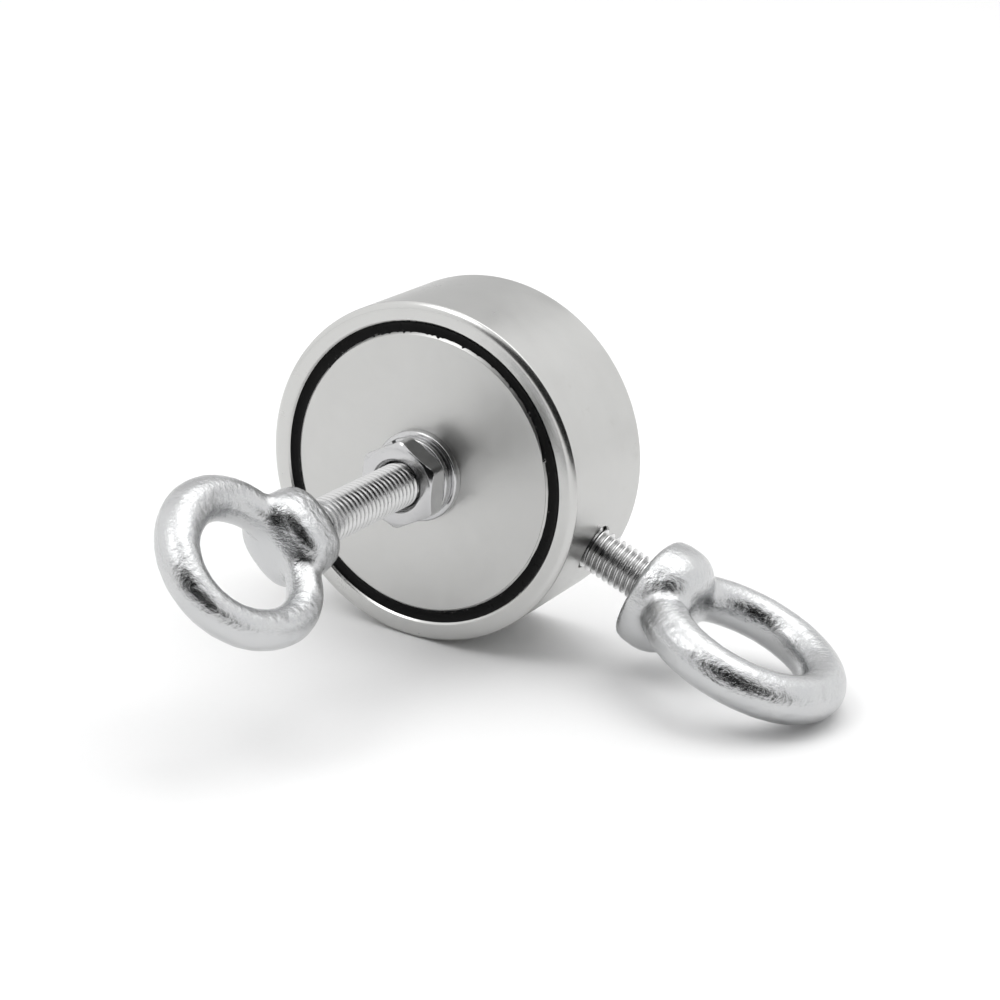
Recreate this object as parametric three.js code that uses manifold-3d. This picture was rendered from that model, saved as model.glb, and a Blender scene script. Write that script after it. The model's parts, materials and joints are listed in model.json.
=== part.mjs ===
// Double-sided magnet fishing magnet: a steel pot with a magnet disc potted in
// black resin in each face, an eyebolt with a lock nut screwed into the front
// face and a larger eyebolt screwed into the side wall.
//
// Millimetres, +Z up. The magnet lies on its round wall, pot axis along Y, with
// the front face towards -Y and the side eyebolt leaning down to the ground at +X.
// The origin is the centre of the bottom of the assembly's box.

import * as THREE from 'three';
import { mergeVertices } from 'three/addons/utils/BufferGeometryUtils.js';
import Module from 'manifold-3d';

const wasm = await Module();
wasm.setup();

// Pot: an outer ring and a central web in one piece, H-shaped in section
const POT_R = 37.5;
const POT_T = 31.4;
const RIM_CHAMFER = 0.9;
const RECESS_R = 33.2;
const RECESS_DEPTH = 8.5;
const RECESS_CHAMFER = 0.45;
const POT_SEGMENTS = 60;

// Magnet discs and the resin rings that hold them
const MAGNET_R = 31;
const MAGNET_HOLE_R = 6.5;
const MAGNET_BELOW_RIM = 0.2;
const MAGNET_EDGE = 0.6;
const RESIN_BELOW_RIM = 0.45;
const POTTING_GAP = 0.05;

// M10 coarse thread, shared by both eyebolts
const THREAD_R = 4.9;
const THREAD_DEPTH = 0.85;
const PITCH = 1.5;
const TAPPED_R = 5.25;
const THREAD_SEGMENTS = 14;

// Front eyebolt, measured outwards from the front rim of the pot
const FRONT_SEAT = 44;
const FRONT_RING_CENTRE = 67.4;
const FRONT_RING_R = 15.4;
const FRONT_WIRE_R = 4.25;
const FRONT_COLLAR = { radius: 9.5, widest: 3.9, top: 10 };
const FRONT_TIP_PAST_MIDDLE = 5.5;
const FRONT_RING_ANGLE = -43.9;

// Side eyebolt, measured outwards from the pot axis
const SIDE_SEAT = 51.6;
const SIDE_RING_CENTRE = 76.45;
const SIDE_RING_R = 18.25;
const SIDE_WIRE_R = 5.15;
const SIDE_COLLAR = { radius: 12.2, widest: 3.9, top: 13.2 };
const SIDE_TIP = 25.5;
const SIDE_HOLE_BOTTOM = 23;
const SIDE_RING_TWIST = 5.1;

// Lock nut and washers, stacked on the front magnet
const STACK_GAP = 0.05;
const FLAT_WASHER = { outer: 10, inner: 5.25, thickness: 2 };
const SPRING_WASHER = { outer: 9.05, inner: 5.3, thickness: 2.3, slit: 7 };
const NUT = { acrossFlats: 17, height: 5.5, bore: 5.25, corner: 29.7, chamfer: 0.7 };

// The front of the pot looks along -Y
const FRONT_Y = -POT_T / 2;

// A mesh with merged vertices as a manifold-3d solid, and back again
function toSolid(geometry) {
  const bare = geometry.index ? geometry.clone() : geometry.toNonIndexed();
  bare.deleteAttribute('normal');
  bare.deleteAttribute('uv');
  const welded = mergeVertices(bare, 1e-4);
  return new wasm.Manifold(new wasm.Mesh({
    numProp: 3,
    vertProperties: new Float32Array(welded.attributes.position.array),
    triVerts: new Uint32Array(welded.index.array),
  }));
}

function toGeometry(solid) {
  const { vertProperties, triVerts } = solid.getMesh();
  const geometry = new THREE.BufferGeometry();
  geometry.setAttribute('position', new THREE.BufferAttribute(vertProperties, 3));
  geometry.setIndex(new THREE.BufferAttribute(triVerts, 1));
  geometry.computeVertexNormals();
  return geometry;
}

// A solid of revolution about +Z from [radius, height] points that run
// anticlockwise round the section, seen with the radius to the right
function turned(points, segments) {
  const profile = [...points, points[0]].map(([r, h]) => new THREE.Vector2(r, h));
  const lathe = new THREE.LatheGeometry(profile, segments);
  lathe.rotateX(Math.PI / 2);
  return lathe;
}

// Points of a threaded shank's section from its tip at height -length up to 0
function threadSection(length) {
  const points = [[0, -length], [THREAD_R - THREAD_DEPTH - 0.3, -length]];
  const turns = Math.floor((length - 0.5) / PITCH);
  for (let turn = turns; turn > 0; turn -= 1) {
    const root = -turn * PITCH;
    points.push([THREAD_R - THREAD_DEPTH, root], [THREAD_R, root + PITCH / 2]);
  }
  points.push([THREAD_R - THREAD_DEPTH, 0]);
  return points;
}

// Points of the forged collar's section: half a ball, stretched along the bolt and
// cut off flat by the seat at height 0
function collarSection({ radius, widest, top }) {
  const points = [[0, 0]];
  const below = -Math.asin(widest / (top - widest));
  const steps = 7;
  for (let step = 0; step < steps; step += 1) {
    const angle = below + (Math.PI / 2 - below) * step / steps;
    points.push([radius * Math.cos(angle), widest + (top - widest) * Math.sin(angle)]);
  }
  points.push([0, top]);
  return points;
}

// A forged eyebolt along +Z with its seat at 0, its ring in the XZ plane
function eyeBolt({ shank, ringCentre, ringR, wireR, collar }) {
  const shaft = toSolid(turned([...threadSection(shank), [THREAD_R - THREAD_DEPTH, 1], [0, 1]],
    THREAD_SEGMENTS));
  const knot = toSolid(turned(collarSection(collar), 30));
  const ring = new THREE.TorusGeometry(ringR, wireR, 12, 36);
  ring.rotateX(Math.PI / 2);
  ring.translate(0, 0, ringCentre);
  return toGeometry(shaft.add(knot).add(toSolid(ring)));
}

function potGeometry(sideAngle) {
  const half = POT_T / 2;
  const web = half - RECESS_DEPTH;
  const body = toSolid(turned([
    [TAPPED_R, -web], [RECESS_R, -web],
    [RECESS_R, -half + RECESS_CHAMFER], [RECESS_R + RECESS_CHAMFER, -half],
    [POT_R - RIM_CHAMFER, -half], [POT_R, -half + RIM_CHAMFER],
    [POT_R, half - RIM_CHAMFER], [POT_R - RIM_CHAMFER, half],
    [RECESS_R + RECESS_CHAMFER, half], [RECESS_R, half - RECESS_CHAMFER],
    [RECESS_R, web], [TAPPED_R, web],
  ], POT_SEGMENTS).rotateX(Math.PI / 2));
  const drill = new THREE.CylinderGeometry(TAPPED_R, TAPPED_R, POT_R, 24);
  drill.rotateZ(-Math.PI / 2);
  drill.translate(SIDE_HOLE_BOTTOM + POT_R / 2, 0, 0);
  drill.rotateY(sideAngle);
  return toGeometry(body.subtract(toSolid(drill)));
}

function magnetGeometry() {
  const thickness = RECESS_DEPTH - MAGNET_BELOW_RIM - POTTING_GAP;
  return turned([
    [MAGNET_HOLE_R, 0], [MAGNET_R, 0], [MAGNET_R, thickness - MAGNET_EDGE],
    [MAGNET_R - MAGNET_EDGE, thickness], [MAGNET_HOLE_R + MAGNET_EDGE, thickness],
    [MAGNET_HOLE_R, thickness - MAGNET_EDGE],
  ], POT_SEGMENTS);
}

function resinGeometry() {
  const thickness = RECESS_DEPTH - RESIN_BELOW_RIM - POTTING_GAP;
  const inner = MAGNET_R + POTTING_GAP;
  const outer = RECESS_R - POTTING_GAP;
  return turned([[inner, 0], [outer, 0], [outer, thickness], [inner, thickness]], POT_SEGMENTS);
}

function flatWasherGeometry() {
  const { outer, inner, thickness } = FLAT_WASHER;
  const edge = 0.25;
  return turned([
    [inner, 0], [outer, 0], [outer, thickness - edge], [outer - edge, thickness], [inner, thickness],
  ], 40);
}

// A flat split ring: an arc with a narrow slit, extruded along +Z
function springWasherGeometry() {
  const { outer, inner, thickness, slit } = SPRING_WASHER;
  const open = THREE.MathUtils.degToRad(slit / 2);
  const shape = new THREE.Shape();
  shape.absarc(0, 0, outer, open, 2 * Math.PI - open, false);
  shape.absarc(0, 0, inner, 2 * Math.PI - open, open, true);
  return new THREE.ExtrudeGeometry(shape, { depth: thickness, bevelEnabled: false, curveSegments: 20 });
}

function nutGeometry() {
  const { acrossFlats, height, bore, corner, chamfer } = NUT;
  const cornerR = acrossFlats / Math.sqrt(3);
  const hexagon = new THREE.CylinderGeometry(cornerR, cornerR, height, 6);
  hexagon.rotateX(Math.PI / 2);
  hexagon.rotateZ(THREE.MathUtils.degToRad(corner + 90));
  hexagon.translate(0, 0, height / 2);
  const faceR = acrossFlats / 2 - 0.1;
  const turnedBlank = turned([
    [bore, -0.01], [faceR, -0.01], [cornerR, chamfer], [cornerR, height - chamfer],
    [faceR, height + 0.01], [bore + 0.6, height + 0.01], [bore, height - 0.5],
  ], 36);
  return toGeometry(toSolid(hexagon).intersect(toSolid(turnedBlank)));
}

function metal(name, geometry, { color, roughness }) {
  const material = new THREE.MeshStandardMaterial({ color, roughness, metalness: 1 });
  const mesh = new THREE.Mesh(geometry, material);
  mesh.name = name;
  return mesh;
}

const NICKEL = { color: 0xc9c9c7, roughness: 0.28 };
const SATIN_NICKEL = { color: 0xcfcfcc, roughness: 0.42 };
const ZINC = { color: 0xbfc1c3, roughness: 0.35 };

// Turns a piece made along +Z so that its axis is `outward` and its +X is `across`
function aim(object, outward, across) {
  const third = new THREE.Vector3().crossVectors(outward, across);
  object.quaternion.setFromRotationMatrix(new THREE.Matrix4().makeBasis(across, third, outward));
  return object;
}

// One magnet and its resin ring, their backs against the web, facing along Y
function pottedFace(side, direction) {
  const face = new THREE.Group();
  const web = POT_T / 2 - RECESS_DEPTH;
  face.add(metal(`${side}_magnet`, magnetGeometry(), SATIN_NICKEL));
  const resin = new THREE.Mesh(resinGeometry(), new THREE.MeshStandardMaterial({
    color: 0x060606, roughness: 0.35, metalness: 0,
  }));
  resin.name = `${side}_resin_ring`;
  face.add(resin);
  aim(face, new THREE.Vector3(0, direction, 0), new THREE.Vector3(1, 0, 0));
  face.position.y = direction * (web + POTTING_GAP);
  return face;
}

// The front eyebolt with its washers and lock nut, outwards along -Y
function frontFitting() {
  const fitting = new THREE.Group();
  const tilt = THREE.MathUtils.degToRad(FRONT_RING_ANGLE);
  const bolt = metal('front_eye_bolt', eyeBolt({
    shank: FRONT_SEAT + POT_T / 2 + FRONT_TIP_PAST_MIDDLE,
    ringCentre: FRONT_RING_CENTRE - FRONT_SEAT,
    ringR: FRONT_RING_R, wireR: FRONT_WIRE_R,
    collar: FRONT_COLLAR,
  }), ZINC);
  bolt.position.z = FRONT_SEAT;
  bolt.rotation.z = tilt;
  fitting.add(bolt);

  const stack = [
    metal('front_flat_washer', flatWasherGeometry(), ZINC),
    metal('front_spring_washer', springWasherGeometry(), ZINC),
    metal('front_lock_nut', nutGeometry(), ZINC),
  ];
  const heights = [FLAT_WASHER.thickness, SPRING_WASHER.thickness, NUT.height];
  let level = -MAGNET_BELOW_RIM + STACK_GAP;
  stack.forEach((piece, index) => {
    piece.position.z = level;
    level += heights[index] + STACK_GAP;
    fitting.add(piece);
  });
  aim(fitting, new THREE.Vector3(0, -1, 0), new THREE.Vector3(1, 0, 0));
  fitting.position.y = FRONT_Y;
  return fitting;
}

// How far the side eyebolt leans below the horizontal when its ring and the
// round wall of the pot both touch the ground
function leanAngle() {
  const twist = Math.sin(THREE.MathUtils.degToRad(SIDE_RING_TWIST));
  const drop = (lean) => SIDE_RING_CENTRE * Math.sin(lean) + SIDE_WIRE_R
    + SIDE_RING_R * Math.hypot(Math.sin(lean), Math.cos(lean) * twist);
  let low = 0;
  let high = Math.PI / 4;
  while (high - low > 1e-7) {
    const middle = (low + high) / 2;
    if (drop(middle) < POT_R) low = middle;
    else high = middle;
  }
  return low;
}

function sideFitting(lean) {
  const bolt = metal('side_eye_bolt', eyeBolt({
    shank: SIDE_SEAT - SIDE_TIP,
    ringCentre: SIDE_RING_CENTRE - SIDE_SEAT,
    ringR: SIDE_RING_R, wireR: SIDE_WIRE_R,
    collar: SIDE_COLLAR,
  }), ZINC);
  const outward = new THREE.Vector3(Math.cos(lean), 0, -Math.sin(lean));
  const upright = new THREE.Vector3(Math.sin(lean), 0, Math.cos(lean));
  const twist = THREE.MathUtils.degToRad(SIDE_RING_TWIST);
  const across = new THREE.Vector3(0, Math.cos(twist), 0).addScaledVector(upright, -Math.sin(twist));
  aim(bolt, outward, across);
  bolt.position.copy(outward).multiplyScalar(SIDE_SEAT);
  return bolt;
}

const lean = leanAngle();
const assembly = new THREE.Group();
assembly.add(metal('pot_housing', potGeometry(lean), NICKEL));
assembly.add(pottedFace('front', -1), pottedFace('rear', 1));
assembly.add(frontFitting(), sideFitting(lean));

// Put the origin at the centre of the bottom of the assembly's box
const box = new THREE.Box3().setFromObject(assembly, true);
const centre = box.getCenter(new THREE.Vector3());
assembly.position.set(-centre.x, -centre.y, -box.min.z);
const magnet = new THREE.Group();
magnet.name = 'fishing_magnet';
magnet.add(assembly);
magnet.updateMatrixWorld(true);

export default magnet;
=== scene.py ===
"""Looks of the double-sided magnet fishing magnet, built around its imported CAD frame.

Shapes are worked out in millimetres in simple local axes and placed in the frame in metres:
a turned piece's axis is its local Z, and an eyebolt has its seat at Z = 0 and its ring in XZ.
"""

import json
import math

import bmesh
import bpy
import numpy as np
from mathutils import Matrix, Vector, noise


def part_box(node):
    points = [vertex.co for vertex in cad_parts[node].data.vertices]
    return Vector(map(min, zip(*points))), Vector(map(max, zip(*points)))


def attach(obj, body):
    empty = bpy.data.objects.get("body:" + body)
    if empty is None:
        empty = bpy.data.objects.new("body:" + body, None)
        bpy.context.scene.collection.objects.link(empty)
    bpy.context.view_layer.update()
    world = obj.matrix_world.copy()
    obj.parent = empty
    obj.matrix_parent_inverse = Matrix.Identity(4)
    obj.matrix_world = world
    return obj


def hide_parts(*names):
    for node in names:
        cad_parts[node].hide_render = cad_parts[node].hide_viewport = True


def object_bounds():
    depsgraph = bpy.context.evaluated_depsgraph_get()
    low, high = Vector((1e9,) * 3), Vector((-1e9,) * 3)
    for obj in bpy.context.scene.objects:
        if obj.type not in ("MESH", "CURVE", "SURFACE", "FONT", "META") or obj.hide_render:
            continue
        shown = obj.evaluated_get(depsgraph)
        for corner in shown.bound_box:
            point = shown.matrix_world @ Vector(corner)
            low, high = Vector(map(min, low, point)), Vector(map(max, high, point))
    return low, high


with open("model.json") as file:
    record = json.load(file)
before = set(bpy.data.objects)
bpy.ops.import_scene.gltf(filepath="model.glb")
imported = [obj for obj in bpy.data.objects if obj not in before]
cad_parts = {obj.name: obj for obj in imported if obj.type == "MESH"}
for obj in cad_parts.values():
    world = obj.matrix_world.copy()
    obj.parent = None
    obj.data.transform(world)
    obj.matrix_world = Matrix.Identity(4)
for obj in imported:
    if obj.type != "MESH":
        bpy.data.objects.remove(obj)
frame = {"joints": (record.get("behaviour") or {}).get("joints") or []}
cad_box = [list(corner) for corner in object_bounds()]

MM = 0.001
TAU = 2 * math.pi

# ---------------------------------------------------------------- sizes, in millimetres

PITCH = 1.5
CREST_R = 4.88
THREAD_DEPTH = 0.92
THREAD_LEAD_IN = 1.1
RECESS_R = 33.2
RECESS_DEPTH = 8.5
MAGNET_R = 31.0
MAGNET_BEVEL = 0.62
MAGNET_HOLE_R = 6.5
MAGNET_BELOW_RIM = 0.2
POTTED_FLOOR = 0.05 - RECESS_DEPTH
BORE_R = 5.25

# Washers and nut on the front eyebolt: the gap under them, then each one's sizes, with its level
# above that gap. The spring washer's split and the nut's corner are placed by angles in degrees.
STACK_GAP = 0.05
FLAT_WASHER = {"inner": 5.3, "outer": 9.97, "thickness": 1.98, "level": 0.0}
SPRING_WASHER = {"inner": 5.35, "outer": 9.0, "thickness": 2.2, "gap": 7, "gap_at": 118, "level": 2.05}
NUT = {"across": 17.0, "height": 5.5, "bore": 5.12, "corner": 29.7, "level": 4.4}

# Eyebolts. The forged rings are a little out of round and their wire uneven: each pair gives
# the cosine and sine parts of the ring's radius (twice and three times round) and of the
# wire's radius (once and twice round), counted from the far end of the ring. The collar is a
# squarish barrel cut flat at its seat: its middle, half widths along and across the ring's
# plane, height of its widest and top, and how square it is seen from the end and the side.
FRONT_EYE = {"seat": 44.0, "centre": 67.15, "ring_r": 15.05, "wire_r": 4.13,
             "oval": ((0.5, -0.06), (0.22, 0.12)), "swell": ((0.18, -0.37), (-0.19, 0.05)),
             "ring_shift": 0.35, "collar_at": (-0.26, -0.8), "collar_r": (9.5, 8.3),
             "widest": 4.4, "top": 11.0, "square": (2.6, 3.3), "blend": 1.6,
             "shank": 65.2, "angle": -43.95}
SIDE_EYE = {"seat": 51.6, "centre": 76.35, "ring_r": 18.2, "wire_r": 5.12,
            "oval": ((0.0, 0.08), (-0.04, -0.03)), "swell": ((0.05, -0.05), (0.04, 0.0)),
            "ring_shift": 0.0, "collar_at": (0.3, -0.75), "collar_r": (12.5, 11.95),
            "widest": 4.1, "top": 12.9, "square": (2.25, 2.5), "blend": 1.6,
            "shank": 26.1, "twist": 5.1}

# Camera: focal length for a 36 mm sensor, angles about the pot in degrees, distance and shift
# in millimetres, and how far below level the side eyebolt leans in the picture
LENS = 90.0
VIEW_AZIMUTH = 28.93
VIEW_ELEVATION = 17.34
VIEW_DISTANCE = 546.8
VIEW_SHIFT = (9.55, -9.56)
PICTURE_LEAN = 24.7

# Light: the surround's level, the way its dark side lies and that side's half angles (where it
# ends and where it is darkest), how much dimmer it is behind on the left, and the lamps in metres
SURROUND = 1.1
DARK_SIDE = (0.55, -0.80, 0.20)
DARK_ENDS, DARK_FROM, DARK_LEVEL = 52, 44, 0.01
DIMMER_BEHIND = 0.34
KEY_LAMP = {"place": (-0.38, -0.5, 1.05), "size": 0.5, "power": 1.8}
TOP_LAMP = {"place": (0.1, 0.5, 1.3), "size": 1.2, "power": 5}
FLOOR_REACH = 20.0

# ---------------------------------------------------------------- places, from the frame

joints = {joint["name"]: joint for joint in frame["joints"]}
pot_low, pot_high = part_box("pot_housing")
POT_R = (pot_high.z - pot_low.z) / 2 / MM
POT_T = (pot_high.y - pot_low.y) / MM
pot_centre = (pot_low + pot_high) / 2
side_axis = Vector(joints["side_eye_turn"]["axis"]).normalized()
lean = math.degrees(math.asin(-side_axis.z))


def placed(origin, outward, across):
    """Matrix that takes local Z to outward and local X to across, origin in metres."""
    outward, across = outward.normalized(), across.normalized()
    third = outward.cross(across)
    turn = Matrix((across, third, outward)).transposed().to_4x4()
    return Matrix.Translation(origin) @ turn


half_pot = Vector((0, POT_T / 2 * MM, 0))
front_place = placed(pot_centre - half_pot, Vector((0, -1, 0)), Vector((1, 0, 0)))
rear_place = placed(pot_centre + half_pot, Vector((0, 1, 0)), Vector((1, 0, 0)))


def front_eye_place():
    """The seat of the front eye's collar, its ring turned about the pot's axis."""
    angle = math.radians(FRONT_EYE["angle"])
    seat = pot_centre - Vector((0, (POT_T / 2 + FRONT_EYE["seat"]) * MM, 0))
    return placed(seat, Vector((0, -1, 0)), Vector((math.cos(angle), 0, math.sin(angle))))


def side_eye_place():
    """The seat of the side eye's collar, its ring twisted a little from along the pot's axis."""
    twist = math.radians(SIDE_EYE["twist"])
    upright = Vector((-side_axis.z, 0, side_axis.x))
    across = Vector((0, math.cos(twist), 0)) - upright * math.sin(twist)
    return placed(pot_centre + side_axis * SIDE_EYE["seat"] * MM, side_axis, across)


# ---------------------------------------------------------------- mesh helpers

def new_piece(name, points, faces, place, material, body, node=None, sharp=35):
    """A mesh piece from local points in millimetres, riding on a body of the frame."""
    mesh = bpy.data.meshes.new(name)
    scaled = np.asarray(points, float) * MM
    mesh.from_pydata([tuple(p) for p in scaled], [], faces)
    mesh.transform(place)
    mesh.validate()
    piece = bpy.data.objects.new(name, mesh)
    bpy.context.scene.collection.objects.link(piece)
    finish_mesh(piece, sharp)
    dress(piece, material, body, node)
    return piece


def finish_mesh(piece, sharp):
    """Weld a mesh, turn its normals outwards and shade it smooth up to an angle in degrees."""
    bm = bmesh.new()
    bm.from_mesh(piece.data)
    bmesh.ops.remove_doubles(bm, verts=bm.verts, dist=1e-7)
    bmesh.ops.dissolve_degenerate(bm, edges=bm.edges, dist=1e-7)
    bmesh.ops.recalc_face_normals(bm, faces=bm.faces)
    bm.to_mesh(piece.data)
    bm.free()
    piece.data.shade_smooth()
    piece.data.set_sharp_from_angle(angle=math.radians(sharp))


def dress(piece, material, body, node=None):
    """Give a piece its material and body, and hide the CAD node that it replaces."""
    piece.data.materials.clear()
    piece.data.materials.append(material)
    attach(piece, body)
    if node:
        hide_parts(node)


def rounded(corners, steps=4):
    """A closed (radius, height) outline from corners (r, h, fillet), each fillet as an arc."""
    outline = []
    count = len(corners)
    for i, (r, h, fillet) in enumerate(corners):
        here = Vector((r, h))
        if fillet <= 0:
            outline.append((r, h))
            continue
        before = (Vector(corners[i - 1][:2]) - here).normalized()
        after = (Vector(corners[(i + 1) % count][:2]) - here).normalized()
        half = before.angle(after) / 2
        reach = fillet / math.tan(half)
        centre = here + (before + after).normalized() * fillet / math.sin(half)
        start = here + before * reach - centre
        end = here + after * reach - centre
        sweep = start.angle_signed(end)
        for step in range(steps + 1):
            turn = Matrix.Rotation(-sweep * step / steps, 2)
            outline.append(tuple(centre + turn @ start))
    return outline


def lathe(outline, segments):
    """A ring swept round Z from a closed (radius, height) outline."""
    points = [(r * math.cos(TAU * i / segments), r * math.sin(TAU * i / segments), h)
              for i in range(segments) for r, h in outline]
    return points, ring_faces(segments, len(outline))


def ring_faces(columns, rows):
    """Faces of a closed tube of closed sections, whose points come section by section."""
    faces = []
    for i in range(columns):
        following = (i + 1) % columns
        for j in range(rows):
            upper = (j + 1) % rows
            faces.append((i * rows + j, following * rows + j, following * rows + upper, i * rows + upper))
    return faces


def evaluated(piece):
    """Apply a piece's modifiers to its mesh."""
    graph = bpy.context.evaluated_depsgraph_get()
    mesh = bpy.data.meshes.new_from_object(piece.evaluated_get(graph))
    piece.modifiers.clear()
    old = piece.data
    piece.data = mesh
    bpy.data.meshes.remove(old)


def cut(piece, points, faces, place):
    """Take the closed shape given in local millimetres out of a piece."""
    mesh = bpy.data.meshes.new("cutter")
    mesh.from_pydata([tuple(Vector(p) * MM) for p in points], [], faces)
    mesh.transform(place)
    cutter = bpy.data.objects.new("cutter", mesh)
    bpy.context.scene.collection.objects.link(cutter)
    finish_mesh(cutter, 30)
    modifier = piece.modifiers.new("cut", "BOOLEAN")
    modifier.object = cutter
    modifier.operation = "DIFFERENCE"
    modifier.solver = "EXACT"
    evaluated(piece)
    bpy.data.objects.remove(cutter)


def wander(x, y, z, size, seed):
    """Smooth noise from -1 to 1 with features about `size` across."""
    return noise.noise(Vector((x / size + seed * 17.3, y / size - seed * 5.1, z / size + seed * 9.7)))


# ---------------------------------------------------------------- materials

def node_kit(name):
    """A new node material, its shader and small helpers for adding and joining nodes."""
    material = bpy.data.materials.new(name)
    material.use_nodes = True
    tree = material.node_tree
    shader = next(n for n in tree.nodes if n.type == "BSDF_PRINCIPLED")

    def add(kind, links=None, **values):
        node = tree.nodes.new(kind)
        for key, value in values.items():
            setattr(node, key, value)
        for socket, source in (links or {}).items():
            join(source, node.inputs[socket])
        return node

    def join(source, target):
        if isinstance(source, bpy.types.NodeSocket):
            tree.links.new(source, target)
        else:
            target.default_value = source

    return material, shader, add, join


def coordinates(add, scale):
    """Object coordinates in units of `scale` metres."""
    place = add("ShaderNodeTexCoord").outputs["Object"]
    return add("ShaderNodeVectorMath", {0: place, 1: (1 / scale,) * 3}, operation="MULTIPLY").outputs[0]


def noise_map(add, scale, detail=3.0, rough=0.55, stretch=None, distortion=0.0):
    """Fractal noise from about 0 to 1 with features `scale` metres across."""
    vector = coordinates(add, scale)
    if stretch:
        vector = add("ShaderNodeVectorMath", {0: vector, 1: stretch}, operation="MULTIPLY").outputs[0]
    texture = add("ShaderNodeTexNoise", {"Vector": vector, "Scale": 1.0, "Detail": detail,
                                         "Roughness": rough, "Distortion": distortion})
    return texture.outputs["Fac"]


def remap(add, value, low, high, to_low, to_high, smooth=False):
    node = add("ShaderNodeMapRange", {"Value": value, "From Min": low, "From Max": high,
                                      "To Min": to_low, "To Max": to_high})
    node.interpolation_type = "SMOOTHSTEP" if smooth else "LINEAR"
    return node.outputs["Result"]


def combine(add, kind, a, b):
    return add("ShaderNodeMath", {0: a, 1: b}, operation=kind).outputs[0]


def blend_colour(add, factor, a, b):
    node = add("ShaderNodeMix", data_type="RGBA")
    for socket, value in ((node.inputs[0], factor), (node.inputs[6], a), (node.inputs[7], b)):
        if isinstance(value, bpy.types.NodeSocket):
            node.id_data.links.new(value, socket)
        else:
            socket.default_value = value
    return node.outputs[2]


def bumped(add, join, shader, layers):
    """Stack (height, strength, distance in metres) bump layers into the shader's normal."""
    normal = None
    for height, strength, distance in layers:
        links = {"Height": height, "Strength": strength, "Distance": distance}
        if normal is not None:
            links["Normal"] = normal
        normal = add("ShaderNodeBump", links).outputs["Normal"]
    join(normal, shader.inputs["Normal"])


def pot_nickel():
    """Satin nickel plate on turned steel: even wall, brighter and smoother rims."""
    material, shader, add, join = node_kit("pot_nickel")
    axis = add("ShaderNodeSeparateXYZ", {0: add("ShaderNodeTexCoord").outputs["Object"]})
    along = combine(add, "SUBTRACT", axis.outputs["Y"], pot_centre.y)
    from_middle = combine(add, "ABSOLUTE", along, 0.0)
    rim = remap(add, from_middle, (POT_T / 2 - 1.1) * MM, (POT_T / 2 - 0.7) * MM, 0.0, 1.0, smooth=True)
    cloud = noise_map(add, 0.011, detail=4)
    fine = noise_map(add, 0.0007, detail=3)
    turning = noise_map(add, 0.00022, detail=2, stretch=(0.004, 1.0, 0.004))
    stain = remap(add, noise_map(add, 0.006, detail=6, rough=0.7), 0.56, 0.74, 0.0, 1.0, smooth=True)
    base = blend_colour(add, cloud, (0.49, 0.49, 0.48, 1), (0.58, 0.58, 0.57, 1))
    base = blend_colour(add, combine(add, "MULTIPLY", stain, 0.25), base, (0.45, 0.44, 0.42, 1))
    base = blend_colour(add, rim, base, (0.58, 0.58, 0.57, 1))
    join(base, shader.inputs["Base Color"])
    shader.inputs["Metallic"].default_value = 1.0
    satin = remap(add, cloud, 0.25, 0.75, 0.26, 0.36)
    satin = combine(add, "ADD", satin, combine(add, "MULTIPLY", stain, 0.08))
    polish = combine(add, "MULTIPLY", rim, -0.08)
    join(combine(add, "ADD", satin, polish), shader.inputs["Roughness"])
    bumped(add, join, shader, [(fine, 0.10, 0.00004), (turning, 0.10, 0.00003), (cloud, 0.12, 0.0004)])
    return material


def magnet_nickel():
    """Nickel-plated magnet: cloudy satin with faint handling marks."""
    material, shader, add, join = node_kit("magnet_nickel")
    cloud = noise_map(add, 0.014, detail=3, distortion=0.6)
    peel = noise_map(add, 0.0011, detail=2)
    grain = noise_map(add, 0.00025, detail=2)
    marks = remap(add, noise_map(add, 0.0035, detail=5, stretch=(1.0, 1.0, 6.0)), 0.62, 0.70, 0.0, 1.0)
    base = blend_colour(add, cloud, (0.52, 0.52, 0.51, 1), (0.62, 0.62, 0.61, 1))
    base = blend_colour(add, combine(add, "MULTIPLY", marks, 0.10), base, (0.52, 0.52, 0.51, 1))
    join(base, shader.inputs["Base Color"])
    shader.inputs["Metallic"].default_value = 1.0
    rough = remap(add, cloud, 0.25, 0.75, 0.30, 0.42)
    join(combine(add, "ADD", rough, combine(add, "MULTIPLY", marks, 0.05)), shader.inputs["Roughness"])
    bumped(add, join, shader, [(cloud, 0.25, 0.0006), (peel, 0.10, 0.00005), (grain, 0.08, 0.00002)])
    return material


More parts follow.
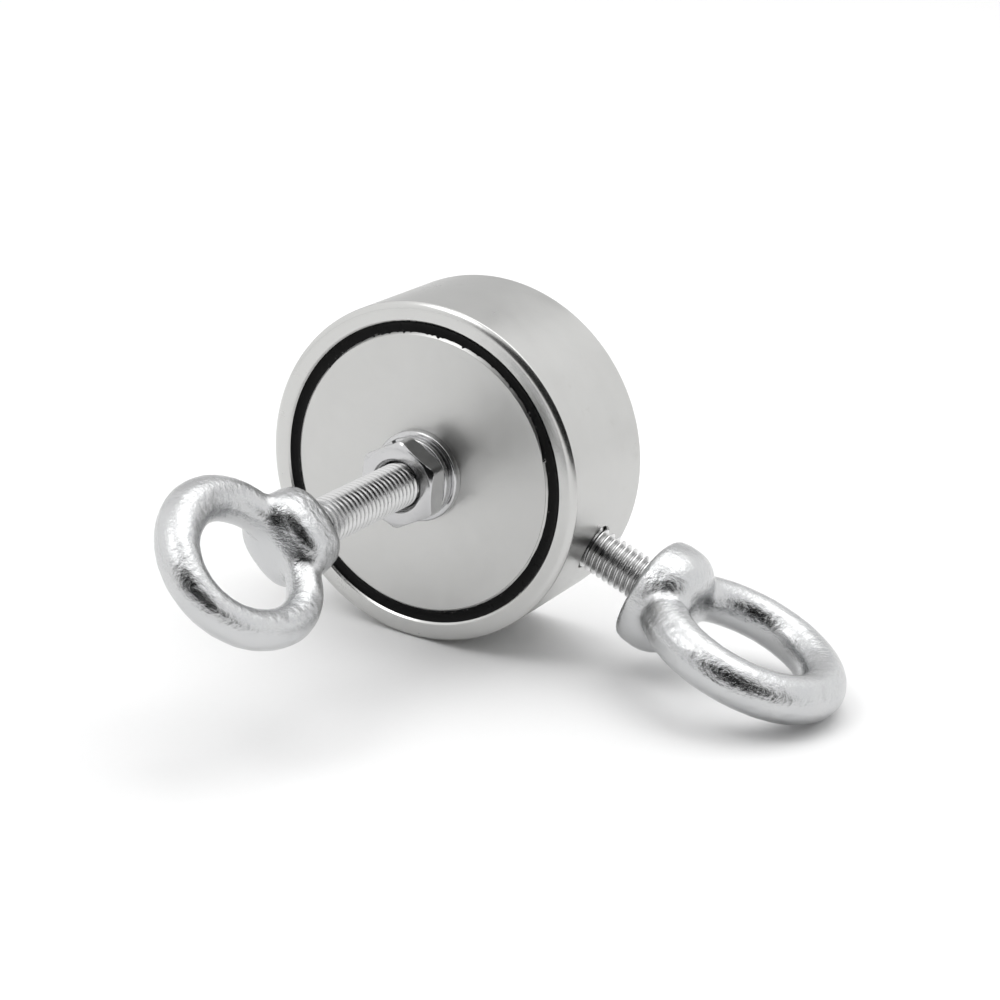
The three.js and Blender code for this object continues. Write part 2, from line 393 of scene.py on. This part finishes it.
def resin_black():
    """Black cast epoxy with tiny bubbles and a few pale flecks along its inner edge."""
    material, shader, add, join = node_kit("resin_black")
    spot = add("ShaderNodeTexCoord").outputs["Object"]
    offset = add("ShaderNodeVectorMath", {0: spot, 1: tuple(pot_centre)}, operation="SUBTRACT").outputs[0]
    flat = add("ShaderNodeVectorMath", {0: offset, 1: (1.0, 0.0, 1.0)}, operation="MULTIPLY").outputs[0]
    radius = add("ShaderNodeVectorMath", {0: flat}, operation="LENGTH").outputs["Value"]
    inner = remap(add, radius, (MAGNET_R + 0.5) * MM, (MAGNET_R - 0.1) * MM, 0.0, 1.0, smooth=True)
    fleck = remap(add, noise_map(add, 0.0006, detail=3, rough=0.7), 0.60, 0.68, 0.0, 1.0)
    patch = remap(add, noise_map(add, 0.009, detail=1), 0.48, 0.62, 0.0, 1.0)
    mask = combine(add, "MULTIPLY", combine(add, "MULTIPLY", fleck, inner), patch)
    waves = noise_map(add, 0.0022, detail=4)
    bubbles = remap(add, noise_map(add, 0.0003, detail=1), 0.68, 0.74, 1.0, 0.0)
    base = blend_colour(add, waves, (0.003, 0.003, 0.003, 1), (0.007, 0.007, 0.007, 1))
    join(blend_colour(add, mask, base, (0.42, 0.42, 0.41, 1)), shader.inputs["Base Color"])
    join(remap(add, waves, 0.3, 0.7, 0.22, 0.42), shader.inputs["Roughness"])
    shader.inputs["Specular IOR Level"].default_value = 0.08
    bumped(add, join, shader, [(waves, 0.25, 0.0003), (bubbles, 0.2, 0.00005)])
    return material


def forged_zinc():
    """Zinc plate over a forged skin: satin, uneven and finely pitted."""
    material, shader, add, join = node_kit("forged_zinc")
    skin = noise_map(add, 0.0013, detail=6, rough=0.66)
    grains = noise_map(add, 0.0004, detail=3, rough=0.6)
    cells = add("ShaderNodeTexVoronoi", {"Vector": coordinates(add, 0.0011), "Scale": 1.0})
    dents = remap(add, cells.outputs["Distance"], 0.0, 0.7, 0.0, 1.0)
    broad = noise_map(add, 0.006, detail=4)
    stain = remap(add, noise_map(add, 0.004, detail=6, rough=0.7), 0.58, 0.76, 0.0, 1.0, smooth=True)
    base = blend_colour(add, broad, (0.52, 0.53, 0.54, 1), (0.61, 0.61, 0.61, 1))
    join(blend_colour(add, combine(add, "MULTIPLY", stain, 0.4), base, (0.36, 0.36, 0.36, 1)),
         shader.inputs["Base Color"])
    shader.inputs["Metallic"].default_value = 1.0
    rough = remap(add, broad, 0.25, 0.75, 0.12, 0.24)
    join(combine(add, "ADD", rough, combine(add, "MULTIPLY", stain, 0.12)), shader.inputs["Roughness"])
    bumped(add, join, shader, [(broad, 0.3, 0.0008), (skin, 0.5, 0.0003), (dents, 0.3, 0.0001),
                               (grains, 0.7, 0.0001)])
    return material


def thread_zinc():
    """Bright zinc on rolled threads, a little darker and duller in the grooves, where shade is painted
    into the colour.
    """
    material, shader, add, join = node_kit("thread_zinc")
    grime_and_shade_noise = noise_map(add, 0.0016, detail=4)
    fine = noise_map(add, 0.00018, detail=3)
    # Painted shade: the grooves, picked out by the mesh's pointiness, are darkened almost to black in the
    # base colour, as shade falls there; a noise varies how dark.
    groove = remap(add, add("ShaderNodeNewGeometry").outputs["Pointiness"], 0.505, 0.45, 0.0, 1.0)
    painted_groove_shade = combine(add, "MULTIPLY", groove, remap(add, grime_and_shade_noise, 0.3, 0.7, 0.6, 0.9))
    base = blend_colour(add, grime_and_shade_noise, (0.62, 0.62, 0.62, 1), (0.72, 0.72, 0.72, 1))
    join(blend_colour(add, painted_groove_shade, base, (0.06, 0.06, 0.06, 1)), shader.inputs["Base Color"])
    shader.inputs["Metallic"].default_value = 1.0
    join(remap(add, grime_and_shade_noise, 0.25, 0.75, 0.16, 0.28), shader.inputs["Roughness"])
    bumped(add, join, shader, [(fine, 0.2, 0.00003), (grime_and_shade_noise, 0.15, 0.0001)])
    return material


def fastener_zinc():
    """Bright zinc on the nut and washers, with faint scuffs."""
    material, shader, add, join = node_kit("fastener_zinc")
    cloud = noise_map(add, 0.003, detail=4)
    grain = noise_map(add, 0.0003, detail=3)
    scuff = remap(add, noise_map(add, 0.0012, detail=5, stretch=(1.0, 5.0, 1.0)), 0.60, 0.70, 0.0, 1.0)
    base = blend_colour(add, cloud, (0.50, 0.50, 0.51, 1), (0.60, 0.60, 0.60, 1))
    join(blend_colour(add, combine(add, "MULTIPLY", scuff, 0.3), base, (0.42, 0.42, 0.42, 1)),
         shader.inputs["Base Color"])
    shader.inputs["Metallic"].default_value = 1.0
    rough = remap(add, cloud, 0.25, 0.75, 0.09, 0.18)
    join(combine(add, "ADD", rough, combine(add, "MULTIPLY", scuff, 0.08)),
         shader.inputs["Roughness"])
    bumped(add, join, shader, [(grain, 0.18, 0.00003), (cloud, 0.15, 0.0002)])
    return material


def floor_paper():
    """White matt paper with a faint fibre."""
    material, shader, add, join = node_kit("floor_paper")
    fibre = noise_map(add, 0.0015, detail=4)
    join(blend_colour(add, fibre, (0.95, 0.95, 0.95, 1), (0.97, 0.97, 0.97, 1)),
         shader.inputs["Base Color"])
    shader.inputs["Roughness"].default_value = 0.9
    bumped(add, join, shader, [(fibre, 0.05, 0.0001)])
    return material


NICKEL = pot_nickel()
MAGNET = magnet_nickel()
RESIN = resin_black()
FORGED = forged_zinc()
THREAD = thread_zinc()
FASTENER = fastener_zinc()


# ---------------------------------------------------------------- pot, magnets, resin

def build_pot():
    """The turned housing: outer wall with rows along it, rims, recess walls and web."""
    half, web = POT_T / 2, POT_T / 2 - RECESS_DEPTH
    section = [(BORE_R + 0.5, -web, 0), (RECESS_R, -web, 0.3), (RECESS_R, -half + 0.45, 0.12),
               (RECESS_R + 0.45, -half, 0.12), (POT_R - 0.9, -half, 1.8), (POT_R, -half + 0.9, 0.5)]
    rows = 30
    wall = [(POT_R, -half + 1.4 + (POT_T - 2.8) * i / rows, 0) for i in range(rows + 1)]
    mirrored = [(r, -h, fillet) for r, h, fillet in reversed(section)]
    bore = [(BORE_R, web - 0.5, 0), (BORE_R, -web + 0.5, 0)]
    points, faces = lathe(rounded(section + wall + mirrored + bore), 240)
    middle = placed(pot_centre, Vector((0, -1, 0)), Vector((1, 0, 0)))
    piece = new_piece("pot_shell", points, faces, middle, NICKEL, "pot", "pot_housing")
    mouth = POT_R - 0.35
    hole = [(0, 23, 0), (BORE_R, 23, 0), (BORE_R, mouth - 0.2, 0), (BORE_R + 0.5, mouth + 0.35, 0),
            (BORE_R + 0.5, POT_R + 2, 0), (0, POT_R + 2, 0)]
    points, faces = lathe([(r, h) for r, h, _ in hole], 64)
    cut(piece, points, faces, placed(pot_centre, side_axis, Vector((0, 1, 0))))
    finish_mesh(piece, 28)


def build_magnet(side, place):
    """A ring magnet with softly rounded edges, its face a little under the rim."""
    top = -MAGNET_BELOW_RIM
    outline = rounded([(MAGNET_HOLE_R, POTTED_FLOOR, 0), (MAGNET_R, POTTED_FLOOR, 0),
                       (MAGNET_R, top - MAGNET_BEVEL, 0.15), (MAGNET_R - MAGNET_BEVEL, top, 0.22),
                       (MAGNET_HOLE_R + 0.4, top, 0.3), (MAGNET_HOLE_R, top - 0.4, 0.2)])
    points, faces = lathe(outline, 240)
    new_piece(f"{side}_magnet_disc", points, faces, place, MAGNET, "pot",
              f"{side}_magnet", sharp=40)


def build_resin(side, place, bare, seed):
    """The potting ring: a slightly sunken, wavy top. It laps over the magnet's bevel, unevenly,
    except round the bare side (an angle), where the bevel shows."""
    segments, across = 480, 10
    outer = RECESS_R - 0.02
    points = []
    for i in range(segments):
        angle = TAU * i / segments
        c, s = math.cos(angle), math.sin(angle)
        open_side = min(max((math.cos(angle - bare) - 0.45) / 0.25, 0), 1)
        ragged = 0.10 * wander(c, s, 0, 0.30, seed) + 0.09 * wander(c, s, 0, 0.06, seed + 3)
        specks = max(0.0, wander(c, s, 0, 0.018, seed + 5) - 0.2) * 0.7
        covered = MAGNET_BEVEL + 0.08 + ragged * 0.4
        bared = 0.06 + ragged + specks
        lap = min(max(covered * (1 - open_side) + bared * open_side, 0.0), 1.0)
        inner = MAGNET_R - lap
        start = -MAGNET_BELOW_RIM + 0.03 - max(0.0, MAGNET_BEVEL - lap)
        floor = -0.75 - 0.15 * open_side
        for j in range(across):
            t = j / (across - 1)
            r = inner + (outer - inner) * t
            end = start if t < 0.5 else -0.35
            sag = (1 - (2 * t - 1) ** 2) ** 0.7 * (floor - end)
            wave = 0.06 * wander(r * c, r * s, 0, 2.4, seed + 7) * (1 - (2 * t - 1) ** 8)
            points.append((r * c, r * s, end + sag + wave))
        points.append((outer * c, outer * s, POTTED_FLOOR))
        points.append((inner * c, inner * s, POTTED_FLOOR))
    faces = ring_faces(segments, across + 2)
    new_piece(f"{side}_potting", points, faces, place, RESIN, "pot",
              f"{side}_resin_ring", sharp=50)


# ---------------------------------------------------------------- threads, nut, washers

THREAD_ROWS = (0, 0.0625, 0.125, 0.23, 0.335, 0.4375, 0.5, 0.5625, 0.625, 0.6875, 0.79, 0.895)


def thread_radius(phase):
    """Radius of an ISO-like thread at a phase of its pitch: flat crest, straight flank, round root."""
    if phase <= 0.125:
        return CREST_R
    if phase < 0.4375:
        return CREST_R - THREAD_DEPTH * (phase - 0.125) / 0.3125
    if phase <= 0.6875:
        return CREST_R - THREAD_DEPTH - 0.06 * math.sin(math.pi * (phase - 0.4375) / 0.25)
    return CREST_R - THREAD_DEPTH * (1 - (phase - 0.6875) / 0.3125)


def threaded_shank(bottom, top):
    """A right-hand helical thread along Z, flattened at both ends but left open there, from bottom to top.
    """
    columns, rows = 72, len(THREAD_ROWS)
    turns = math.ceil((top - bottom) / PITCH) + 2
    points = []
    for i in range(columns):
        angle = TAU * i / columns
        for k in range(turns * rows + 1):
            turn, row = divmod(k, rows)
            height = bottom + (turn - 1 + THREAD_ROWS[row] + i / columns) * PITCH
            radius = thread_radius(THREAD_ROWS[row])
            lead = min(max(THREAD_LEAD_IN - (height - bottom), 0.0), THREAD_LEAD_IN)
            radius = min(radius, CREST_R - 0.9 * lead)
            height = min(max(height, bottom), top)
            points.append((radius * math.cos(angle), radius * math.sin(angle), height))
    column = turns * rows + 1
    faces = []
    for i in range(columns):
        following, shift = ((i + 1) % columns, 0 if i + 1 < columns else rows)
        for k in range(column - 1 - shift):
            faces.append((i * column + k, following * column + k + shift,
                          following * column + k + 1 + shift, i * column + k + 1))
    return points, faces


def close_ends(piece):
    """Fill the open rings at the ends of a threaded shank and weld what was flattened there."""
    bm = bmesh.new()
    bm.from_mesh(piece.data)
    bmesh.ops.remove_doubles(bm, verts=bm.verts, dist=2e-6)
    bmesh.ops.dissolve_degenerate(bm, edges=bm.edges, dist=2e-6)
    bmesh.ops.holes_fill(bm, edges=[e for e in bm.edges if e.is_boundary], sides=0)
    bmesh.ops.recalc_face_normals(bm, faces=bm.faces)
    bm.to_mesh(piece.data)
    bm.free()
    piece.data.set_sharp_from_angle(angle=math.radians(50))


def nut_section(hexagon, face_r, height, bore):
    """The nut's closed outline at one angle, where its side lies at the radius `hexagon`: the
    side is upright and the chamfer cones cut it at both ends."""
    side = min(hexagon, face_r / math.cos(math.radians(30)) * 0.985)
    drop = (side - face_r + 0.05) * math.tan(math.radians(30))
    ease = 0.06
    lower = [(side, drop + ease), (side - ease, drop - ease * 0.4), (face_r, 0.02),
             (face_r - 0.05, 0), (bore + 0.85, 0), (bore + 0.75, 0.05), (bore, 0.75)]
    upper = [(r, height - h) for r, h in reversed(lower)]
    return upper + lower


def build_nut(place, level):
    """A hexagon nut swept section by section, so that each chamfer is a true cone."""
    across, corner = NUT["across"], NUT["corner"]
    face_r = across / 2 - 0.12
    segments = 192
    points = []
    for i in range(segments):
        angle = TAU * i / segments
        within = (math.degrees(angle) - corner) % 60 - 30
        hexagon = across / 2 / math.cos(math.radians(within))
        section = nut_section(hexagon, face_r, NUT["height"], NUT["bore"])
        points += [(r * math.cos(angle), r * math.sin(angle), level + h) for r, h in section]
    faces = ring_faces(segments, len(section))
    new_piece("lock_nut", points, faces, place, FASTENER, "lock_nut",
              "front_lock_nut", sharp=24)


def build_flat_washer(place, level):
    """A stamped washer, its upper outside edge rounder than the others."""
    inner, outer = FLAT_WASHER["inner"], FLAT_WASHER["outer"]
    top = level + FLAT_WASHER["thickness"]
    outline = rounded([(inner, level, 0.1), (outer, level, 0.1), (outer, top, 0.45), (inner, top, 0.25)])
    points, faces = lathe(outline, 160)
    new_piece("flat_washer", points, faces, place, FASTENER, "flat_washer",
              "front_flat_washer", sharp=50)


def build_spring_washer(place, level):
    """A split ring whose ends stand slightly apart, cut on a slant."""
    segments, gap = 150, math.radians(SPRING_WASHER["gap"])
    inner, outer = SPRING_WASHER["inner"], SPRING_WASHER["outer"]
    outline = rounded([(inner, 0, 0.15), (outer, 0, 0.2), (outer, 1.0, 0.2), (inner, 1.0, 0.15)], steps=3)
    rows, start = len(outline), gap / 2 + math.radians(SPRING_WASHER["gap_at"])
    points = []
    for i in range(segments + 1):
        t = i / segments
        for r, h in outline:
            angle = start + (TAU - gap) * t + 0.10 * (h - 0.5)
            lift = level + 0.04 + SPRING_WASHER["thickness"] * h + 0.03 * (t - 0.5)
            points.append((r * math.cos(angle), r * math.sin(angle), lift))
    faces = [f for f in ring_faces(segments + 1, rows) if max(f) - min(f) < 2 * rows]
    faces += [tuple(range(rows)), tuple(segments * rows + j for j in reversed(range(rows)))]
    new_piece("spring_washer", points, faces, place, FASTENER, "spring_washer",
              "front_spring_washer", sharp=50)


# ---------------------------------------------------------------- forged eyebolts

def smooth_union(a, b, size):
    """Distance to two shapes joined with a fillet of about `size`."""
    mix = np.clip(0.5 + 0.5 * (b - a) / size, 0, 1)
    return b * (1 - mix) + a * mix - size * mix * (1 - mix)


def harmonic(angle, base, pairs, first):
    """A radius that varies round a ring by a few cosine and sine parts."""
    total = base
    for step, (cosine, sine) in enumerate(pairs):
        total = total + cosine * np.cos((first + step) * angle) + sine * np.sin((first + step) * angle)
    return total


def eye_distance(p, eye):
    """Signed distance to the forging: a ring blended into a barrel of a collar."""
    x, y, z = p[:, 0], p[:, 1], p[:, 2]
    aside, above = x - eye["ring_shift"], z - (eye["centre"] - eye["seat"])
    angle = np.arctan2(aside, above)
    reach = np.hypot(aside, above) - harmonic(angle, eye["ring_r"], eye["oval"], 2)
    ring = np.hypot(reach, y) - harmonic(angle, eye["wire_r"], eye["swell"], 1)
    seam = 0.07 * np.exp(-(y / 0.28) ** 2) * (reach > 0)
    u, v, up = x - eye["collar_at"][0], y - eye["collar_at"][1], z - eye["widest"]
    end, side = eye["square"]
    plan = (np.abs(u / eye["collar_r"][0]) ** end + np.abs(v / eye["collar_r"][1]) ** end) ** (side / end)
    level = (plan + np.abs(up / (eye["top"] - eye["widest"])) ** side) ** (1 / side)
    barrel = np.sqrt(u * u + v * v + up * up) * (1 - 1 / np.maximum(level, 1e-3))
    collar = -smooth_union(-barrel, z, 1.2)
    return smooth_union(collar, ring, eye["blend"]) - seam


def eye_blank(eye):
    """Coarse overlapping closed solids of the forging, which the voxel remesh then joins."""
    rise = eye["centre"] - eye["seat"]
    wide = eye["collar_r"][1]
    points, faces = lathe([(0.01, 0.1), (wide * 0.8, 0.1), (wide, eye["widest"]),
                           (wide * 0.75, eye["top"] * 0.75), (0.01, eye["top"])], 48)
    around, tube = 96, 24
    start = len(points)
    for i in range(around):
        for j in range(tube):
            a, b = TAU * i / around, TAU * j / tube
            r = eye["ring_r"] + eye["wire_r"] * math.cos(b)
            points.append((r * math.cos(a), eye["wire_r"] * math.sin(b), rise + r * math.sin(a)))
    faces += [tuple(start + v for v in f) for f in ring_faces(around, tube)]
    return points, faces


def forge(piece, eye, place, seed):
    """Draw the remeshed blank onto the forging's true surface, then roughen it as forged."""
    mesh = piece.data
    count = len(mesh.vertices)
    flat = np.empty(count * 3)
    mesh.vertices.foreach_get("co", flat)
    p = flat.reshape(-1, 3)
    step = 0.02
    for _ in range(10):
        here = eye_distance(p, eye)
        slope = np.stack([eye_distance(p + step * axis, eye) - eye_distance(p - step * axis, eye)
                          for axis in np.eye(3)], axis=1) / (2 * step)
        size = np.maximum((slope ** 2).sum(1), 0.25)
        p = p - slope * (here / size)[:, None] * 0.8
    normal = slope / np.sqrt(np.maximum((slope ** 2).sum(1), 1e-9))[:, None]
    lumps = np.array([0.05 * wander(*q, 3.4, seed) + 0.04 * wander(*q, 1.3, seed + 2)
                      + 0.025 * wander(*q, 0.7, seed + 4) - 0.05 for q in p])
    machined = p[:, 2] < 0.35
    lumps[machined] = 0
    p = (p + normal * lumps[:, None]) * MM
    mesh.vertices.foreach_set("co", p.ravel())
    mesh.update()
    mesh.transform(place)
    mesh.shade_smooth()


def build_eye_bolt(name, eye, place, body, node, seed):
    """A forged eye and its threaded shank, which goes a little way up inside the collar."""
    points, faces = eye_blank(eye)
    mesh = bpy.data.meshes.new(name)
    mesh.from_pydata(points, [], faces)
    piece = bpy.data.objects.new(name, mesh)
    bpy.context.scene.collection.objects.link(piece)
    finish_mesh(piece, 180)
    remesh = piece.modifiers.new("join", "REMESH")
    remesh.mode = "VOXEL"
    remesh.voxel_size = 0.34
    evaluated(piece)
    forge(piece, eye, place, seed)
    dress(piece, FORGED, body, node)
    points, faces = threaded_shank(-eye["shank"], 1.2)
    shank = new_piece(f"{name}_shank", points, faces, place, THREAD, body, sharp=50)
    close_ends(shank)


build_pot()
for side, place, bare, seed in (("front", front_place, 80, 5.4), ("rear", rear_place, 150, 2.2)):
    build_magnet(side, place)
    build_resin(side, place, math.radians(bare), seed)

stack = STACK_GAP - MAGNET_BELOW_RIM
build_flat_washer(front_place, stack + FLAT_WASHER["level"])
build_spring_washer(front_place, stack + SPRING_WASHER["level"])
build_nut(front_place, stack + NUT["level"])
build_eye_bolt("front_eye", FRONT_EYE, front_eye_place(), "front_eye", "front_eye_bolt", 1)
build_eye_bolt("side_eye", SIDE_EYE, side_eye_place(), "side_eye", "side_eye_bolt", 2)


# ---------------------------------------------------------------- floor, light, camera

def build_floor():
    """A wide white sheet just under the part."""
    mesh = bpy.data.meshes.new("floor")
    level = cad_box[0][2] - 0.1 * MM
    corners = [(x * FLOOR_REACH, y * FLOOR_REACH, level) for x, y in ((-1, -1), (1, -1), (1, 1), (-1, 1))]
    mesh.from_pydata(corners, [], [(0, 1, 2, 3)])
    floor = bpy.data.objects.new("floor", mesh)
    bpy.context.scene.collection.objects.link(floor)
    floor.data.materials.append(floor_paper())


def build_world():
    """A white surround with a dark side in front on the right, as a photographer leaves beside
    the set, and slightly dimmer behind on the left."""
    world = bpy.data.worlds.new("studio")
    bpy.context.scene.world = world
    world.use_nodes = True
    tree = world.node_tree
    tree.nodes.clear()
    join = tree.links.new

    def math_node(kind, a, b):
        node = tree.nodes.new("ShaderNodeMath")
        node.operation = kind
        for socket, value in zip(node.inputs, (a, b)):
            if isinstance(value, bpy.types.NodeSocket):
                join(value, socket)
            else:
                socket.default_value = value
        return node.outputs[0]

    def step(value, low, high, to_low, to_high):
        node = tree.nodes.new("ShaderNodeMapRange")
        node.interpolation_type = "SMOOTHSTEP"
        join(value, node.inputs["Value"])
        for name, level in zip(("From Min", "From Max", "To Min", "To Max"), (low, high, to_low, to_high)):
            node.inputs[name].default_value = level
        return node.outputs[0]

    direction = tree.nodes.new("ShaderNodeTexCoord").outputs["Generated"]
    towards = tree.nodes.new("ShaderNodeVectorMath")
    towards.operation = "DOT_PRODUCT"
    join(direction, towards.inputs[0])
    towards.inputs[1].default_value = Vector(DARK_SIDE).normalized()
    ends, darkest = (math.cos(math.radians(angle)) for angle in (DARK_ENDS, DARK_FROM))
    dark = step(towards.outputs["Value"], ends, darkest, 1.0, DARK_LEVEL)
    parts = tree.nodes.new("ShaderNodeSeparateXYZ")
    join(direction, parts.inputs[0])
    dimmer = math_node("MULTIPLY", step(parts.outputs["X"], -0.16, 0.08, DIMMER_BEHIND, 0.0),
                       step(parts.outputs["Y"], 0.3, 0.6, 0.0, 1.0))
    level = math_node("MULTIPLY", dark, math_node("SUBTRACT", SURROUND, dimmer))
    seen = tree.nodes.new("ShaderNodeLightPath").outputs["Is Camera Ray"]
    shine = tree.nodes.new("ShaderNodeBackground")
    shine.inputs["Color"].default_value = (1, 1, 1, 1)
    join(math_node("MAXIMUM", level, seen), shine.inputs["Strength"])
    output = tree.nodes.new("ShaderNodeOutputWorld")
    join(shine.outputs[0], output.inputs["Surface"])


def area_light(name, lamp_sizes):
    """A round soft lamp that points at the pot."""
    light = bpy.data.lights.new(name, "AREA")
    light.shape = "DISK"
    light.size = lamp_sizes["size"]
    light.energy = lamp_sizes["power"]
    lamp = bpy.data.objects.new(name, light)
    bpy.context.scene.collection.objects.link(lamp)
    lamp.location = lamp_sizes["place"]
    lamp.rotation_euler = (pot_centre - lamp.location).to_track_quat("-Z", "Y").to_euler()


def build_camera():
    """The picture's view: angles about the pot, then turned about the pot's axis so that the
    side eyebolt leans as it does in the picture."""
    azimuth, elevation = math.radians(VIEW_AZIMUTH), math.radians(VIEW_ELEVATION)
    back = Vector((math.sin(azimuth) * math.cos(elevation), -math.cos(azimuth) * math.cos(elevation),
                   math.sin(elevation)))
    right = Vector((math.cos(azimuth), math.sin(azimuth), 0))
    up = back.cross(right)
    turn = Matrix.Rotation(-math.radians(PICTURE_LEAN - lean), 3, "Y")
    away = back * VIEW_DISTANCE + right * VIEW_SHIFT[0] + up * VIEW_SHIFT[1]
    axes = Matrix((turn @ right, turn @ up, turn @ back)).transposed()
    camera = bpy.data.objects.new("camera", bpy.data.cameras.new("camera"))
    bpy.context.scene.collection.objects.link(camera)
    camera.data.lens = LENS
    camera.data.sensor_width = 36.0
    camera.data.clip_start = 0.01
    camera.matrix_world = Matrix.Translation(pot_centre + turn @ away * MM) @ axes.to_4x4()
    bpy.context.scene.camera = camera


build_floor()
build_world()
area_light("key", KEY_LAMP)
area_light("top", TOP_LAMP)
build_camera()
bpy.context.scene.view_settings.view_transform = "Standard"
